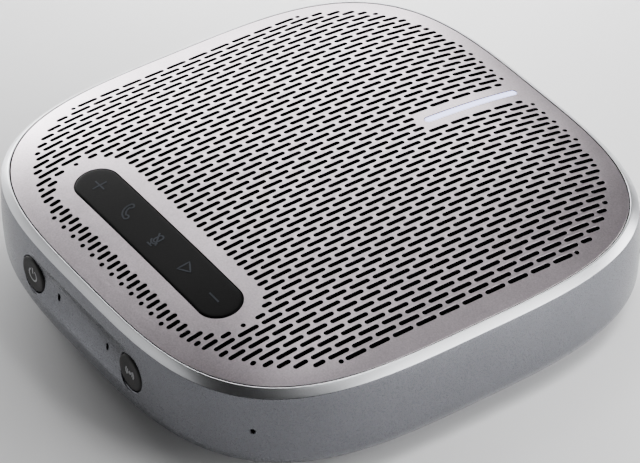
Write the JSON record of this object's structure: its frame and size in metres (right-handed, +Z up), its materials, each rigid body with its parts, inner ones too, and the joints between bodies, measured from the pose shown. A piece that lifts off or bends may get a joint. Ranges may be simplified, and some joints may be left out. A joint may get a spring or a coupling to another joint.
{
  "type": "conference speakerphone",
  "caption": "Square desktop conference speakerphone with a crowned slotted metal top, a black key strip, a light bar and round buttons in its front wall.",
  "frame": {"origin": "on the table under the middle of the body", "axes": "+X along the key strip towards the volume-down key, +Y from the key strip towards the light bar and the USB socket, +Z up"},
  "size_m": [0.12, 0.12, 0.03],
  "materials": {
    "anodised_plate": "fine bead-blasted, anodised pinkish grey",
    "blasted_housing": "satin, bead-blasted space grey",
    "acoustic_cloth": "fine black weave",
    "black_plastic": "fine spark-eroded texture",
    "foot_rubber": "matte",
    "key_silicone": "matte soft-touch",
    "button_plastic": "matte with a fine grain",
    "diffuser": "milky, lit from below",
    "circuit_board": "solder mask",
    "steel": "plain",
    "ferrite": "sintered",
    "copper": "enamelled wire",
    "cone_paper": "pressed paper pulp",
    "battery_film": "shrink film",
    "foam": "open-cell foam"
  },
  "bodies": {
    "body": {"housing": "blasted_housing", "grille_plate": "anodised_plate", "acoustic_cloth": "acoustic_cloth", "bottom_cover": "black_plastic", "foot_ring": "foot_rubber", "baffle": "black_plastic", "snap_dome_volume_up": "steel", "snap_dome_call": "steel", "snap_dome_mute": "steel", "snap_dome_play": "steel", "snap_dome_volume_down": "steel", "key_board": "circuit_board", "light_guide": "diffuser", "light_board": "circuit_board", "power_switch": "steel", "pairing_switch": "steel", "power_light_pipe": "diffuser", "pairing_light_pipe": "diffuser", "side_board": "circuit_board", "mic_board_front_left": "circuit_board", "mic_board_front_right": "circuit_board", "mic_board_back_left": "circuit_board", "mic_board_back_right": "circuit_board", "mic_gasket_front_left": "foot_rubber", "mic_gasket_front_right": "foot_rubber", "mic_gasket_back_left": "foot_rubber", "mic_gasket_back_right": "foot_rubber", "speaker_basket": "black_plastic", "speaker_top_plate": "steel", "speaker_magnet": "ferrite", "speaker_yoke": "steel", "speaker_spider": "acoustic_cloth", "speaker_surround": "foot_rubber", "speaker_left_front_screw": "steel", "speaker_left_back_screw": "steel", "speaker_right_front_screw": "steel", "speaker_right_back_screw": "steel", "main_board": "circuit_board", "shield_can": "steel", "usb_receptacle": "steel", "board_left_screw": "steel", "board_right_screw": "steel", "battery": "battery_film", "battery_pad": "foam", "cover_left_front_screw": "steel", "cover_left_back_screw": "steel", "cover_right_front_screw": "steel", "cover_right_back_screw": "steel"},
    "volume_up_key": {"key_volume_up": "key_silicone"},
    "call_key": {"key_call": "key_silicone"},
    "mute_key": {"key_mute": "key_silicone"},
    "play_key": {"key_play": "key_silicone"},
    "volume_down_key": {"key_volume_down": "key_silicone"},
    "power_cap": {"power_button": "button_plastic"},
    "pairing_cap": {"pairing_button": "button_plastic"},
    "cone": {"speaker_cone": "cone_paper", "dust_cap": "cone_paper", "voice_coil": "copper"}
  },
  "joints": [
    {"name": "volume_up_press", "type": "slide", "parent": "body", "child": "volume_up_key", "axis": [0, 0, -1], "range_m": [0, 0.0004], "stiffness_N_per_m": 4000},
    {"name": "call_press", "type": "slide", "parent": "body", "child": "call_key", "axis": [0, 0, -1], "range_m": [0, 0.0004], "stiffness_N_per_m": 4000},
    {"name": "mute_press", "type": "slide", "parent": "body", "child": "mute_key", "axis": [0, 0, -1], "range_m": [0, 0.0004], "stiffness_N_per_m": 4000},
    {"name": "play_press", "type": "slide", "parent": "body", "child": "play_key", "axis": [0, 0, -1], "range_m": [0, 0.0004], "stiffness_N_per_m": 4000},
    {"name": "volume_down_press", "type": "slide", "parent": "body", "child": "volume_down_key", "axis": [0, 0, -1], "range_m": [0, 0.0004], "stiffness_N_per_m": 4000},
    {"name": "power_press", "type": "slide", "parent": "body", "child": "power_cap", "axis": [0, 1, 0], "range_m": [0, 0.0005], "stiffness_N_per_m": 4000},
    {"name": "pairing_press", "type": "slide", "parent": "body", "child": "pairing_cap", "axis": [0, 1, 0], "range_m": [0, 0.0005], "stiffness_N_per_m": 4000},
    {"name": "cone_travel", "type": "slide", "parent": "body", "child": "cone", "axis": [0, 0, 1], "range_m": [-0.0012, 0.0012], "stiffness_N_per_m": 1500, "deforming": ["speaker_surround", "speaker_spider"]}
  ]
}
